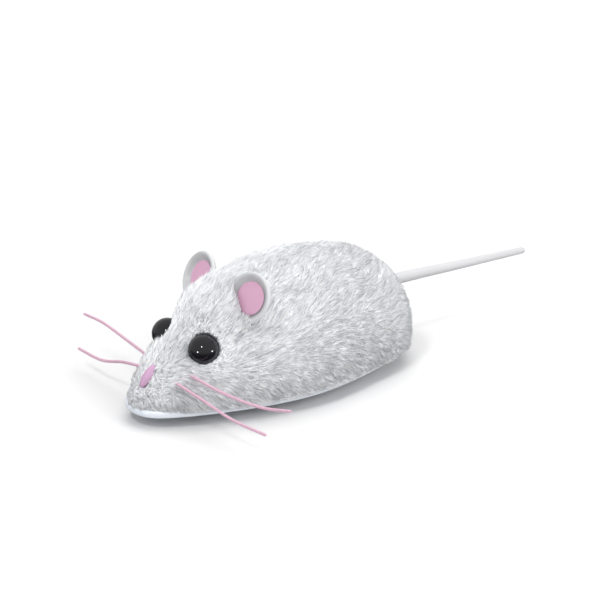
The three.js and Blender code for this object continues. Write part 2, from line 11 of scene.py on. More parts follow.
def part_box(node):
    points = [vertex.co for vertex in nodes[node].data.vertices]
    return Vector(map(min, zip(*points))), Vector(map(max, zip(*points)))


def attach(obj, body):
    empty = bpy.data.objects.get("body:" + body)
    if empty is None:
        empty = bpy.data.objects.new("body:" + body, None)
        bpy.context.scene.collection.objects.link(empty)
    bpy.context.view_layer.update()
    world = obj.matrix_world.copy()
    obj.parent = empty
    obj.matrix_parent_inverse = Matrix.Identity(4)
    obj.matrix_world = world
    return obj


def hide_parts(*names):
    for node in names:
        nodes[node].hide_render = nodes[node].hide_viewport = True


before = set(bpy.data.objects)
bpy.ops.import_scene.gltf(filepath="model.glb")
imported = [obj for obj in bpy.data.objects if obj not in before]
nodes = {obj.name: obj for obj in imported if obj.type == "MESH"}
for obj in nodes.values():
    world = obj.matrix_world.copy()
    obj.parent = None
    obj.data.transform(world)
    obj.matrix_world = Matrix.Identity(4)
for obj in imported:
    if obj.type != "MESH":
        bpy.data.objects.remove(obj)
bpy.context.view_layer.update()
mm = 0.001

# ---- Studio -------------------------------------------------------------------------------------
# The toy stands on a plain white table inside a pale tent, under three wide soft lights. Three small
# round lamps show only as glints in glossy pieces, and the camera looks down on the left cheek.

CAMERA_AIM = Vector((15.9, -23.6, 28.1)) * mm
CAMERA_AZIMUTH = math.radians(49.6)
CAMERA_ELEVATION = math.radians(21.5)
CAMERA_DISTANCE = 750 * mm
CAMERA_FIELD = 152.3 * mm  # width of the view at the aim
CAMERA_NEAREST = 10 * mm
SENSOR = 36
FLOOR_SIDE = 6
TENT_LIGHT = 0.74
TENT_FADE = [(0.35, (0.02, 0.02, 0.022, 1)), (0.52, (1, 1, 1, 1))]  # share of the way up, colour
SOFTBOX_AWAY = 2.5
SOFTBOX_AIM = Vector((0, 0, 10)) * mm
SOFTBOXES = {
    "overhead": {"azimuth": 212, "elevation": 68, "size": 2.5, "watts": 43},
    "key": {"azimuth": 17, "elevation": 56, "size": 0.5, "watts": 17},
    "fill": {"azimuth": 114, "elevation": 28, "size": 1.9, "watts": 29},
}
# each is to the right of, above and in front of the cheek as the camera sees it, and then its size
GLINTS = [(-0.66, -0.23, 0.72, 0.055), (0.92, -0.12, 0.38, 0.05), (-0.2, 0.4, 0.9, 0.03)]
GLINT_WATTS = 0.4
GLINT_AWAY = 0.4
LEFT_CHEEK = Vector((7, -48, 18)) * mm
TABLE_COLOUR = (0.672, 0.672, 0.675)
FAR_OUT = 100 * mm  # further from the middle than any piece


def towards(azimuth, elevation):
    """The way from the toy to a place round it. Azimuth 0 is in front of the nose."""
    level = math.cos(elevation)
    return Vector((math.sin(azimuth) * level, -math.cos(azimuth) * level, math.sin(elevation)))


def place_in_scene(name, data):
    thing = bpy.data.objects.new(name, data)
    bpy.context.scene.collection.objects.link(thing)
    return thing


def add_lamp(name, watts, size, position, aim):
    lamp = bpy.data.lights.new(name, "AREA")
    lamp.shape = "DISK"
    lamp.size = size
    lamp.energy = watts
    holder = place_in_scene(name, lamp)
    holder.location = position
    holder.rotation_euler = (aim - position).to_track_quat("-Z", "Y").to_euler()
    return holder


camera_back = towards(CAMERA_AZIMUTH, CAMERA_ELEVATION)
camera = place_in_scene("camera", bpy.data.cameras.new("camera"))
camera.data.sensor_width = SENSOR
camera.data.lens = SENSOR * CAMERA_DISTANCE / CAMERA_FIELD
camera.location = CAMERA_AIM + camera_back * CAMERA_DISTANCE
camera.rotation_euler = (-camera_back).to_track_quat("-Z", "Y").to_euler()
camera.data.clip_start = CAMERA_NEAREST
bpy.context.scene.camera = camera
bpy.context.scene.view_settings.view_transform = "Standard"

tent = bpy.data.worlds.new("tent")
tent.use_nodes = True
bpy.context.scene.world = tent
sky = tent.node_tree.nodes["Background"]
compass = tent.node_tree.nodes.new("ShaderNodeTexCoord")
height = tent.node_tree.nodes.new("ShaderNodeSeparateXYZ")
fade = tent.node_tree.nodes.new("ShaderNodeValToRGB")
for element, (position, colour) in zip(fade.color_ramp.elements, TENT_FADE, strict=True):
    element.position = position
    element.color = colour
lift = tent.node_tree.nodes.new("ShaderNodeMapRange")
lift.inputs["From Min"].default_value = -1
tent.node_tree.links.new(compass.outputs["Generated"], height.inputs[0])
tent.node_tree.links.new(height.outputs["Z"], lift.inputs["Value"])
tent.node_tree.links.new(lift.outputs[0], fade.inputs[0])
tent.node_tree.links.new(fade.outputs[0], sky.inputs["Color"])
sky.inputs["Strength"].default_value = TENT_LIGHT

for name, box in SOFTBOXES.items():
    way = towards(math.radians(box["azimuth"]), math.radians(box["elevation"]))
    softbox = add_lamp(name, box["watts"], box["size"], way * SOFTBOX_AWAY, SOFTBOX_AIM)
    softbox.visible_glossy = False
camera_right = camera_back.cross(Vector((0, 0, -1))).normalized()
camera_up = camera_back.cross(camera_right)
for number, (across, above, ahead, size) in enumerate(GLINTS):
    way = (camera_right * across + camera_up * above + camera_back * ahead).normalized()
    glint = add_lamp(f"glint_{number}", GLINT_WATTS, size, LEFT_CHEEK + way * GLINT_AWAY, LEFT_CHEEK)
    glint.visible_diffuse = False
    glint.visible_camera = False


class Finish:
    """One material. Nodes are added by kind, with their settings first and then their sockets."""

    def __init__(self, name):
        self.material = bpy.data.materials.new(name)
        self.material.use_nodes = True
        self.tree = self.material.node_tree
        self.shader = self.tree.nodes["Principled BSDF"]

    def node(self, kind, settings=(), sockets=(), output=0):
        made = self.tree.nodes.new("ShaderNode" + kind)
        for name, value in dict(settings).items():
            if name == "stops":
                self.set_stops(made.color_ramp, value)
            else:
                setattr(made, name, value)
        for name, value in dict(sockets).items():
            self.feed(made.inputs[name], value)
        return Value(self, made.outputs[output])

    def set_stops(self, ramp, stops):
        while len(ramp.elements) < len(stops):
            ramp.elements.new(0.5)
        for element, (position, colour) in zip(ramp.elements, stops, strict=True):
            element.position = position
            element.color = (*colour, 1)

    def feed(self, socket, value):
        if isinstance(value, Value):
            self.tree.links.new(value.socket, socket)
        elif socket.type == "RGBA":
            socket.default_value = (*value, 1)
        else:
            socket.default_value = value

    def place(self):
        return self.node("TexCoord", output="Object")

    def attribute(self, name):
        return self.node("Attribute", {"attribute_name": name}, output="Fac")

    def noise(self, scale, detail=2, where=None, roughness=0.5):
        sockets = {"Vector": where or self.place(), "Scale": scale, "Detail": detail, "Roughness": roughness}
        return self.node("TexNoise", {}, sockets, "Fac")

    def colour(self, share, low, high):
        return self.node("Mix", {"data_type": "RGBA"}, {0: share, 6: low, 7: high}, 2)

    def bump(self, height, distance, strength=1.0):
        return self.node("Bump", {}, {"Height": height, "Distance": distance, "Strength": strength})

    def surface(self, **sockets):
        for name, value in sockets.items():
            self.feed(self.shader.inputs[name.replace("_", " ")], value)
        return self.material


class Value:
    """A shader socket that can be used in sums like a number."""

    def __init__(self, finish, socket):
        self.finish = finish
        self.socket = socket

    def math(self, operation, first, second):
        return self.finish.node("Math", {"operation": operation}, {0: first, 1: second})

    def __add__(self, other):
        return self.math("ADD", self, other)

    __radd__ = __add__

    def __sub__(self, other):
        return self.math("SUBTRACT", self, other)

    def __rsub__(self, other):
        return self.math("SUBTRACT", other, self)

    def __mul__(self, other):
        return self.math("MULTIPLY", self, other)

    __rmul__ = __mul__

    def __pow__(self, other):
        return self.math("POWER", self, other)


floor_mesh = bmesh.new()
bmesh.ops.create_grid(floor_mesh, x_segments=1, y_segments=1, size=FLOOR_SIDE / 2)
table = bpy.data.meshes.new("table")
floor_mesh.to_mesh(table)
floor_mesh.free()
floor = place_in_scene("table", table)
floor.visible_glossy = False
table_paint = Finish("table_paint")
table.materials.append(table_paint.surface(Base_Color=TABLE_COLOUR, Roughness=0.9, Specular_IOR_Level=0))

# ---- Base plate ---------------------------------------------------------------------------------
# One flat moulding in pale blue-white plastic with a rounded rim. It has slots for the four wheels,
# a relief for the drive pinion, a groove for the rear axle and sunk holes for the screws.

RIM_POINTS = 180
RIM_SMOOTHING = 6
RIM_SPINE = 0.3  # half the length of the line that the rim is found from, as a share of the plate's
PLATE_TOP = 5 * mm
PLATE_ROUND = 0.75 * mm
SLOT_PLAY = 0.5 * mm
SLOT_ABOVE = 1 * mm
PINION_PLAY = 0.4 * mm
PINION_RELIEF_TOP = 6 * mm
SCREW_HOLE = {"radius": 2.1 * mm, "depth": 4.3 * mm}
AXLE_GROOVE = 0.7 * mm  # half its width
MERGE_WITHIN = 0.001 * mm
SHARP_FROM = math.radians(38)
PLATE_COLOUR = (0.68, 0.72, 0.78)


def shape_of(name):
    """A merged copy of a frame piece's mesh, to measure from."""
    copy = bmesh.new()
    copy.from_mesh(nodes[name].data)
    bmesh.ops.remove_doubles(copy, verts=copy.verts, dist=MERGE_WITHIN)
    return copy


def finished_piece(name, shape, material, body, replaced=(), smooth=True):
    """Turns a bmesh into a piece of the object, riding on its body."""
    mesh = bpy.data.meshes.new(name)
    shape.to_mesh(mesh)
    shape.free()
    if smooth:
        mesh.shade_smooth()
        mesh.set_sharp_from_angle(angle=SHARP_FROM)
    mesh.materials.append(material)
    piece = place_in_scene(name, mesh)
    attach(piece, body)
    if replaced:
        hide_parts(*replaced)
    return piece


def add_block(shape, low, high):
    """A rectangular block between two corners."""
    made = bmesh.ops.create_cube(shape, size=1)["verts"]
    size = Vector(high) - Vector(low)
    bmesh.ops.scale(shape, vec=size, verts=made)
    bmesh.ops.translate(shape, vec=(Vector(low) + Vector(high)) / 2, verts=made)
    return made


def add_rod(shape, radius, start, end, sides=32):
    """A round rod between two points."""
    start, end = Vector(start), Vector(end)
    turn = (end - start).to_track_quat("Z", "Y").to_matrix().to_4x4()
    place = Matrix.Translation((start + end) / 2) @ turn
    length = (end - start).length
    made = bmesh.ops.create_cone(
        shape, cap_ends=True, segments=sides, radius1=radius, radius2=radius, depth=length, matrix=place
    )
    return made["verts"]


def cut_away(shape, tools, operation="DIFFERENCE"):
    """The shape with the tools cut out of it or joined to it, as a new bmesh. Both are used up."""
    holders = []
    for name, part in (("blank", shape), ("tools", tools)):
        mesh = bpy.data.meshes.new(name)
        part.to_mesh(mesh)
        part.free()
        holders.append(place_in_scene(name, mesh))
    blank, cutter = holders
    cut = blank.modifiers.new("cut", "BOOLEAN")
    cut.operation = operation
    cut.solver = "EXACT"
    cut.use_self = True
    cut.object = cutter
    result = bmesh.new()
    result.from_object(blank, bpy.context.evaluated_depsgraph_get())
    for holder in holders:
        mesh = holder.data
        bpy.data.objects.remove(holder)
        bpy.data.meshes.remove(mesh)
    return result


plate_low, plate_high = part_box("base_plate")
plate_bottom = plate_low.z
plate_mesh = shape_of("base_plate")
plate_tree = BVHTree.FromBMesh(plate_mesh)
plate_mesh.free()

plate = bmesh.new()
rim = bmesh.ops.create_circle(plate, cap_ends=True, segments=RIM_POINTS, radius=1)["verts"]
mid_height = (PLATE_TOP + plate_bottom) / 2
spine_half = RIM_SPINE * (plate_high.y - plate_low.y)
plate_mid = (plate_high.y + plate_low.y) / 2
for vertex in rim:
    centre = Vector((0, plate_mid + spine_half * vertex.co.y, mid_height))
    outward = vertex.co.normalized()
    hit = plate_tree.ray_cast(centre + outward * FAR_OUT, -outward)[0]
    vertex.co = Vector((hit.x, hit.y, plate_bottom))
for _ in range(RIM_SMOOTHING):
    bmesh.ops.smooth_vert(plate, verts=plate.verts, factor=0.5, use_axis_x=True, use_axis_y=True)
raised = bmesh.ops.extrude_face_region(plate, geom=plate.faces[:])["geom"]
upper_rim = [v for v in raised if isinstance(v, bmesh.types.BMVert)]
bmesh.ops.translate(plate, vec=(0, 0, PLATE_TOP - plate_bottom), verts=upper_rim)
bmesh.ops.recalc_face_normals(plate, faces=plate.faces)
rims = [e for e in plate.edges if abs(e.verts[0].co.z - e.verts[1].co.z) < MERGE_WITHIN / 10]
bmesh.ops.bevel(
    plate, geom=rims, offset=PLATE_ROUND, segments=5, profile=0.5, affect="EDGES", clamp_overlap=True,
    material=-1,
)

wheel_slots = bmesh.new()
for tyre in ("drive_tyre_left", "drive_tyre_right", "rear_wheel_left", "rear_wheel_right"):
    low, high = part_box(tyre)
    radius = (high.z - low.z) / 2
    above = (low.z + high.z) / 2 - PLATE_TOP
    half = math.sqrt(radius**2 - above**2) + SLOT_PLAY
    middle = (low.y + high.y) / 2
    add_block(
        wheel_slots,
        (low.x - SLOT_PLAY, middle - half, 0),
        (high.x + SLOT_PLAY, middle + half, PLATE_TOP + SLOT_ABOVE),
    )
low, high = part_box("drive_pinion")
add_block(
    wheel_slots,
    (low.x - PINION_PLAY, low.y - PINION_PLAY, 0),
    (high.x + PINION_PLAY, high.y + PINION_PLAY, PINION_RELIEF_TOP),
)
for end in ("front", "rear"):
    for side in ("left", "right"):
        low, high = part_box(f"shell_screw_{end}_{side}")
        middle = (low + high) / 2
        hole_end = (middle.x, middle.y, SCREW_HOLE["depth"])
        add_rod(wheel_slots, SCREW_HOLE["radius"], (middle.x, middle.y, 0), hole_end, 40)
axle_low, axle_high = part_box("rear_axle")
axle_mid = (axle_low + axle_high) / 2
add_block(
    wheel_slots,
    (axle_low.x, axle_mid.y - AXLE_GROOVE, 0),
    (axle_high.x, axle_mid.y + AXLE_GROOVE, axle_mid.z),
)
plate = cut_away(plate, wheel_slots)

plate_plastic = Finish("plate_plastic")
cloud = plate_plastic.noise(90, 3)
plate_plastic.surface(
    Base_Color=plate_plastic.colour(cloud, PLATE_COLOUR, tuple(c * 1.06 for c in PLATE_COLOUR)),
    Roughness=0.28 + 0.12 * plate_plastic.noise(700, 2),
    Normal=plate_plastic.bump(plate_plastic.noise(2600, 3), 0.01 * mm, 0.35),
)
finished_piece("moulded_base", plate, plate_plastic.material, "mouse", ["base_plate"])

# ---- Plush cover --------------------------------------------------------------------------------
# A knitted backing stretched over the shell and glued round the hem, with a dense white pile some
# 4 mm long. The pile is brushed from the nose back to the rump and lies nearly flat in small tufts.

BACKING_DEPTH = 0.5 * mm  # below the frame piece's outer face, which is near the tips of the pile
BACKING_THICKNESS = 0.7 * mm
BACKING_RINGS = (84, 60)
HEM_FLARE = 10 * mm  # the height under which the cover spreads to meet the plate's rim
HEM_INSET = 0.3 * mm
SNOUT_INSET = 1.2 * mm  # how much further in the hem stays round the snout
SNOUT_FROM = -46 * mm
SNOUT_FADE = 14 * mm
STRANDS = 245000
STRAND_LENGTH = 4.5 * mm
STRAND_RADIUS = 0.118 * mm
PILE_PIECES = 10
TUFTS = 8864
SEED = 7
EAR_REACH = 6.8 * mm
BROW_AT = (0, -42 * mm, 26 * mm)
SKIRT = 14 * mm  # how far the hull is run on below the hem
SPINE_HEIGHT = 8 * mm
SPINE_ENDS = (7 * mm, 11 * mm)  # how far the spine stays inside the nose and the rump
COVER_SMOOTHING = 3
EYE_CAP = 3 * mm
TAIL_HEIGHT = 17 * mm
KEY_HOLE = 2.6 * mm
TAIL_HOLE = 2 * mm
NOSE_HOLE = (1.2, 3.5, 2.7)
ROOT_SHADE = (0.45, 0.47, 0.52)
TIP_SHADE = (0.985, 0.99, 1.0)
DARK_SHARE = 0.28  # of the strands
# painted shade: each strand's colour is darkened towards its root, for the shade deep in the pile, and
# lightened at its tip, where the light falls
PAINTED_DEPTH_SHADE_ALONG = [0.35, 0.9, 0.9, 0.9, 1.1]  # from root to tip


def envelope():
    """The outer skin of the cover as a smooth mesh of rings round a spine, run on below the hem."""
    hull = shape_of("fur_cover")
    low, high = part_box("fur_cover")
    for vertex in [v for v in hull.verts if v.co.z < low.z + 0.5 * mm]:
        hull.verts.new(vertex.co - Vector((0, 0, SKIRT)))
    outside = bmesh.ops.convex_hull(hull, input=hull.verts)
    loose = [g for g in outside["geom_interior"] if isinstance(g, bmesh.types.BMVert)]
    bmesh.ops.delete(hull, geom=loose, context="VERTS")
    tree = BVHTree.FromBMesh(hull)
    hull.free()
    spine = Vector((0, 0, SPINE_HEIGHT))
    skin = bmesh.new()
    bmesh.ops.create_uvsphere(skin, u_segments=BACKING_RINGS[0], v_segments=BACKING_RINGS[1], radius=1)
    lengthways = Matrix.Rotation(math.radians(90), 3, "X")
    bmesh.ops.rotate(skin, cent=(0, 0, 0), matrix=lengthways, verts=skin.verts)
    for vertex in skin.verts:
        way = vertex.co.normalized()
        along = (way.y + 1) / 2
        spine.y = low.y + SPINE_ENDS[0] + along * (high.y - low.y - sum(SPINE_ENDS))
        vertex.co = tree.ray_cast(spine + way * FAR_OUT, -way)[0]
    return skin


def flare(skin, hem_height):
    """Spreads the foot of the cover out to the rim of the plate."""
    for vertex in skin.verts:
        nearest = min(max(vertex.co.y, plate_mid - spine_half), plate_mid + spine_half)
        middle = Vector((0, nearest, mid_height))
        outward = Vector((vertex.co.x, vertex.co.y - middle.y, 0))
        share = min(max((HEM_FLARE - vertex.co.z) / (HEM_FLARE - hem_height), 0), 1)
        if share > 0 and outward.length > 1 * mm:
            now = outward.length
            outward.normalize()
            edge = plate_tree.ray_cast(middle + outward * FAR_OUT, -outward)[0]
            inset = HEM_INSET + SNOUT_INSET * min(max((SNOUT_FROM - vertex.co.y) / SNOUT_FADE, 0), 1)
            spread = (edge - middle).length - inset - now
            vertex.co += outward * max(spread, 0) * share * share


def in_fixed_order(shape):
    """The same mesh with its corners and faces in one order, which some operators leave to chance."""
    corners = sorted(shape.verts, key=lambda v: tuple(v.co))
    places = {vertex: index for index, vertex in enumerate(corners)}
    rings = []
    for face in shape.faces:
        ring = [places[v] for v in face.verts]
        first = ring.index(min(ring))
        rings.append(ring[first:] + ring[:first])
    ordered = bmesh.new()
    made = [ordered.verts.new(v.co) for v in corners]
    for ring in sorted(rings):
        ordered.faces.new([made[index] for index in ring])
    shape.free()
    return ordered


skin = in_fixed_order(envelope())
for _ in range(COVER_SMOOTHING):
    bmesh.ops.smooth_vert(
        skin, verts=skin.verts, factor=0.5, use_axis_x=True, use_axis_y=True, use_axis_z=True
    )
skin.normal_update()
for vertex, normal in [(v, v.normal.copy()) for v in skin.verts]:
    vertex.co -= normal * BACKING_DEPTH
hem_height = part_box("fur_cover")[0].z
flare(skin, hem_height)
whole_skin = skin.verts[:] + skin.edges[:] + skin.faces[:]
hem_point = (0, 0, hem_height)
bmesh.ops.bisect_plane(skin, geom=whole_skin, plane_co=hem_point, plane_no=(0, 0, 1), clear_inner=True)
bmesh.ops.triangulate(skin, faces=skin.faces)
skin.normal_update()

EYES = {}
for side in ("left", "right"):
    shape = shape_of(f"eye_{side}")
    front = min(v.co.y for v in shape.verts)
    cap = np.array([v.co for v in shape.verts if v.co.y < front + EYE_CAP], float)
    shape.free()
    # a sphere through the cap's corners: |p|^2 = 2 p.c + (r^2 - |c|^2)
    fit = np.linalg.lstsq(np.c_[2 * cap, np.ones(len(cap))], (cap**2).sum(1), rcond=None)[0]
    EYES[side] = (fit[:3], math.sqrt(fit[3] + (fit[:3] ** 2).sum()))


def flat_disc(name):
    """The middle of a thin round frame piece, and the way its front faces."""
    shape = shape_of(name)
    corners = np.array([v.co for v in shape.verts], float)
    shape.free()
    middle = corners.mean(0)
    facing = np.linalg.svd(corners - middle)[2][2]
    return middle, facing * (-1 if facing[1] > 0 else 1)


EARS = {side: flat_disc(f"ear_lining_{side}") for side in ("left", "right")}


def smoothstep(low, high, values):
    share = np.clip((values - low) / (high - low), 0, 1)
    return share * share * (3 - 2 * share)


def unit(vectors):
    return vectors / np.maximum(np.linalg.norm(vectors, axis=1, keepdims=True), 1e-12)


def dot(a, b):
    return (a * b).sum(1)


def drift(points, size, shift):
    """Smooth random vectors, one for each point."""
    return np.array([noise.noise_vector(Vector(p) / size + Vector((shift, 0, 0))) for p in points])


def scatter(shape, count, generator):
    """Random points over a bmesh by area, with smooth normals."""
    corners = np.array([[v.co for v in f.verts] for f in shape.faces], float)
    normals = np.array([[v.normal for v in f.verts] for f in shape.faces], float)
    areas = np.linalg.norm(np.cross(corners[:, 1] - corners[:, 0], corners[:, 2] - corners[:, 0]), axis=1)
    chosen = generator.choice(len(areas), count, p=areas / areas.sum())
    shares = generator.dirichlet((1, 1, 1), count)[:, :, None]
    return (corners[chosen] * shares).sum(1), unit((normals[chosen] * shares).sum(1))


def comb(points, normals, nose):
    """The way the pile lies: up and back over the head, level along the sides and down at the hem."""
    height = points[:, 2] / mm
    climb = np.interp(height, [4, 9, 15, 24, 36], [-1.2, -0.85, -0.05, 0.6, 0.5])
    rump = smoothstep(8, 18, points[:, 1] / mm)
    climb = climb * (1 - rump) + rump * np.interp(height, [4, 12, 30], [-0.9, -0.5, -0.1])
    way = np.stack([np.zeros(len(points)), np.ones(len(points)), climb], axis=1)
    from_nose = points - nose
    near_nose = smoothstep(9, 3, np.linalg.norm(from_nose, axis=1) / mm)[:, None]
    way = unit(way) * (1 - near_nose) + unit(from_nose) * near_nose
    way = way + 0.5 * drift(points, 8 * mm, 0) + 0.25 * drift(points, 2.4 * mm, 9)
    for centre, radius in EYES.values():
        away = unit(points - centre)
        near = smoothstep(radius / mm + 5.5, radius / mm + 1, np.linalg.norm(points - centre, axis=1) / mm)
        into = np.minimum(dot(unit(way), away), 0) * near
        way = unit(way) - away * into[:, None] * 0.8
    way = way - normals * dot(way, normals)[:, None]
    return unit(way)


random = np.random.default_rng(SEED)
noise.seed_set(SEED)  # without it the noise takes its places from the clock
roots, normals = scatter(skin, STRANDS, random)
nose_low, nose_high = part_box("nose")
nose_tip = np.array([0, nose_low.y, (nose_low.z + nose_high.z) / 2])
key_low, key_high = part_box("winding_key")
key_axis = np.array([(key_low.y + key_high.y) / 2, (key_low.z + key_high.z) / 2])
tail_root = np.array([0, TAIL_HEIGHT])

keep = np.ones(STRANDS, bool)
for centre, radius in EYES.values():
    keep &= np.linalg.norm(roots - centre, axis=1) > radius - 0.1 * mm
for middle, facing in EARS.values():
    depth = (roots - middle) @ facing
    across = np.linalg.norm(roots - middle - depth[:, None] * facing, axis=1)
    keep &= ~((across < EAR_REACH + 0.2 * mm) & (depth > -1.7 * mm) & (depth < 0.8 * mm))
keep &= ~((roots[:, 0] < 0) & (np.linalg.norm(roots[:, 1:] - key_axis, axis=1) < KEY_HOLE))
keep &= ~((roots[:, 1] > 0) & (np.linalg.norm(roots[:, [0, 2]] - tail_root, axis=1) < TAIL_HOLE))
keep &= np.linalg.norm((roots - nose_tip) / NOSE_HOLE, axis=1) > 1 * mm
roots, normals = roots[keep], normals[keep]

tuft_roots, tuft_normals = scatter(skin, TUFTS, random)
tufts = KDTree(len(tuft_roots))
for index, point in enumerate(tuft_roots):
    tufts.insert(point, index)
tufts.balance()
tuft_of = np.array([tufts.find(p)[1] for p in roots])
tuft_ways = comb(tuft_roots, tuft_normals, nose_tip)
tuft_length = random.uniform(0.8, 1.15, len(tuft_roots))
tuft_lift = random.normal(0, 0.06, len(tuft_roots))
tuft_tone = random.normal(0, 1, len(tuft_roots))

ways = unit(tuft_ways[tuft_of] + random.normal(0, 0.24, roots.shape))
ways = unit(ways - normals * dot(ways, normals)[:, None])
length = STRAND_LENGTH * tuft_length[tuft_of] * random.uniform(0.65, 1.12, len(roots))
for centre, radius in EYES.values():
    gap = (np.linalg.norm(roots - centre, axis=1) - radius) / mm
    length *= 0.4 + 0.6 * smoothstep(0.2, 3.5, gap)
length *= 0.42 + 0.58 * smoothstep(1, 9, np.linalg.norm(roots - nose_tip, axis=1) / mm)
length *= 0.55 + 0.45 * smoothstep(-63, -52, roots[:, 1] / mm)
for middle, facing in EARS.values():
    near_ear = smoothstep(9.5, 6, np.linalg.norm(roots - middle - facing * 2 * mm, axis=1) / mm)
    length *= 1 - 0.15 * near_ear
    roots -= normals * (0.3 * mm * near_ear)[:, None]
fullness = smoothstep(8, 19, roots[:, 1] / mm)
roots += normals * (0.8 * mm * fullness)[:, None]
brow = smoothstep(11, 4, np.linalg.norm((roots - BROW_AT) / (1.6, 1, 1), axis=1) / mm)
roots += normals * (0.9 * mm * brow)[:, None]


def raised(angles):
    return ways * np.cos(angles)[:, None] + normals * np.sin(angles)[:, None]


snout = smoothstep(15, 5, np.linalg.norm(roots - nose_tip, axis=1) / mm)
root_lift = 0.36 + 0.1 * fullness + 0.14 * snout + tuft_lift[tuft_of] + random.normal(0, 0.09, len(roots))
root_lift = np.clip(root_lift, 0.15, 0.95)
tip_lift = 0.08 + 0.05 * fullness + 0.08 * snout + tuft_lift[tuft_of] + random.normal(0, 0.09, len(roots))
tip_lift = np.clip(tip_lift, -0.1, 0.6)
middles = roots + raised(root_lift) * (length * 0.4)[:, None]
tips = middles + raised(tip_lift) * (length * 0.6)[:, None]
tuft_tips = tuft_roots + tuft_ways * STRAND_LENGTH * 0.9 + tuft_normals * 1.2 * mm
pull = random.uniform(0.0, 0.18, len(roots))[:, None]
gathered = tuft_tips[tuft_of] - tips
gathered = gathered - normals * dot(gathered, normals)[:, None]
tips = tips + gathered * pull * (length / STRAND_LENGTH)[:, None]
middles[:, 2] = np.maximum(middles[:, 2], 4.8 * mm)
tips[:, 2] = np.maximum(tips[:, 2], random.uniform(3.9, 4.8, len(tips)) * mm)
for centre, radius in EYES.values():
    for line in (middles, tips):
        out = line - centre
        away = np.linalg.norm(out, axis=1)
        inside = away < radius + 0.15 * mm
        line[inside] = centre + out[inside] / away[inside, None] * (radius + 0.12 * mm)
for middle, facing in EARS.values():
    in_front = (roots - middle) @ facing > 0
    # a strand that would cross the dish is cut short, except that a few lap over the rim's foot
    depth = (tips - middle) @ facing
    across = np.linalg.norm(tips - middle - depth[:, None] * facing, axis=1)
    low_side = np.clip((middle[2] - tips[:, 2]) / (3 * mm), 0, 1)
    least = EAR_REACH - (0.5 + 2.6 * low_side) * mm + random.uniform(-0.6, 0.5, len(tips)) * mm
    crossing = in_front & (across < EAR_REACH) & (depth < 1.3 * mm)
    cut = crossing & ((across < least) | (depth < -2 * mm))
    cut |= ~in_front & (across < EAR_REACH) & (depth > 0)
    middles[cut] = roots[cut] + (middles[cut] - roots[cut]) * 0.5
    tips[cut] = roots[cut] + (tips[cut] - roots[cut]) * 0.42
    for line, slack in ((middles, 1.3), (tips, 1.5)):
        depth = (line - middle) @ facing
        across = np.linalg.norm(line - middle - depth[:, None] * facing, axis=1)
        touching = across < EAR_REACH + 0.2 * mm
        front = touching & in_front & (depth < slack * mm)
        line[front] += facing * (slack * mm - depth[front])[:, None]
        back = touching & ~in_front & (depth > -2 * mm)
        line[back] += facing * (-2 * mm - depth[back])[:, None]

along = unit(tips - roots)
sideways = unit(np.cross(along, normals))
upward = np.cross(sideways, along)
strand = bmesh.new()
bmesh.ops.create_circle(strand, segments=3, radius=STRAND_RADIUS)
corners = np.array([v.co for v in strand.verts], float)
strand.free()
thickness = random.uniform(0.75, 1.2, len(roots))[:, None]
ring = [middles + (sideways * c[0] + upward * c[1] * 0.8) * thickness for c in corners]
points = np.stack([roots, *ring, tips], axis=1)
faces = np.array([(0, 2, 1), (0, 3, 2), (0, 1, 3), (4, 1, 2), (4, 2, 3), (4, 3, 1)])

pile_fibre = Finish("pile_fibre")
pile_fibre.surface(
    # the colour carries each strand's random tone and the painted shade that darkens it towards its root
    Base_Color=pile_fibre.colour(pile_fibre.attribute("tone"), ROOT_SHADE, TIP_SHADE),
    Roughness=0.38,
    Specular_IOR_Level=0.5,
)

order = np.argsort(roots[:, 1], kind="stable")
for number, group in enumerate(np.array_split(order, PILE_PIECES)):
    strands = points[group]
    count = len(group)
    mesh = bpy.data.meshes.new(f"pile_{number + 1}")
    mesh.vertices.add(count * 5)
    mesh.vertices.foreach_set("co", strands.astype(np.float32).ravel())
    corners_of = (faces[None] + 5 * np.arange(count)[:, None, None]).reshape(-1)
    mesh.loops.add(len(corners_of))
    mesh.loops.foreach_set("vertex_index", corners_of.astype(np.int32))
    mesh.polygons.add(len(corners_of) // 3)
    mesh.polygons.foreach_set("loop_start", np.arange(0, len(corners_of), 3, dtype=np.int32))
    mesh.update(calc_edges=True)
    draw = random.uniform(0, 1, count)
    strand_tone = np.where(draw < DARK_SHARE, 0.1 + draw, 0.72 + 0.4 * draw)
    strand_tone = strand_tone + 0.05 * tuft_tone[tuft_of[group]]
    # each strand's random tone, times the painted shade that runs from root to tip
    tones_and_depth_shade = np.clip(strand_tone[:, None] * np.array(PAINTED_DEPTH_SHADE_ALONG), 0, 1)
    values = mesh.attributes.new("tone", "FLOAT", "POINT")
    values.data.foreach_set("value", tones_and_depth_shade.astype(np.float32).ravel())
    mesh.shade_smooth()
    mesh.materials.append(pile_fibre.material)
    piece = place_in_scene(f"pile_{number + 1}", mesh)
    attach(piece, "mouse")


def with_thickness(sheet, thickness):
    """A closed wall, made from an open sheet by adding its inner face."""
    sheet.normal_update()
    made = bmesh.ops.extrude_face_region(sheet, geom=sheet.faces[:], use_keep_orig=True)["geom"]
    inner = [g for g in made if isinstance(g, bmesh.types.BMVert)]
    for vertex in inner:
        vertex.co -= vertex.normal * thickness
    bmesh.ops.recalc_face_normals(sheet, faces=sheet.faces)


